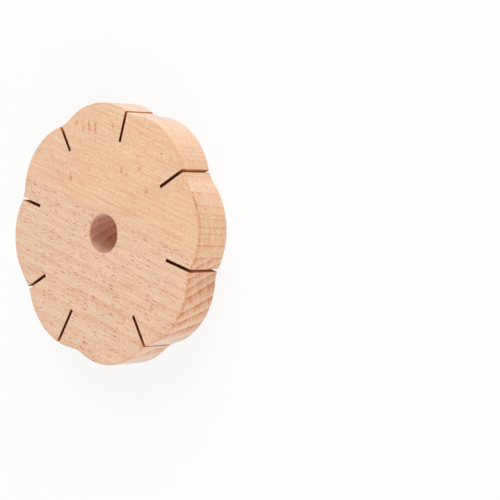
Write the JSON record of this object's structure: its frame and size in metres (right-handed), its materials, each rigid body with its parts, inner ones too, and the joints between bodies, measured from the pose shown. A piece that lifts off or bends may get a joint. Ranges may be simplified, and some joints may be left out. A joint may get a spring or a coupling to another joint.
{
  "type": "braiding disc",
  "caption": "Flat wooden braiding disc with a scalloped rim, narrow thread slots sawn in at its valleys and a drilled centre hole that the finished braid passes down through.",
  "frame": {"origin": "middle of the back face that the disc lies on, at the centre of the petalled outline and of the hole", "axes": "+Z out of the front face along the hole; petals point along +X, +Y, -X and -Y and halfway between; +Y is up in the picture"},
  "size_m": [0.08, 0.08, 0.012],
  "materials": {
    "beech": "fine sanded pale beech with a thin oil finish"
  },
  "bodies": {
    "root": {"braiding_disc": "beech"}
  },
  "joints": []
}
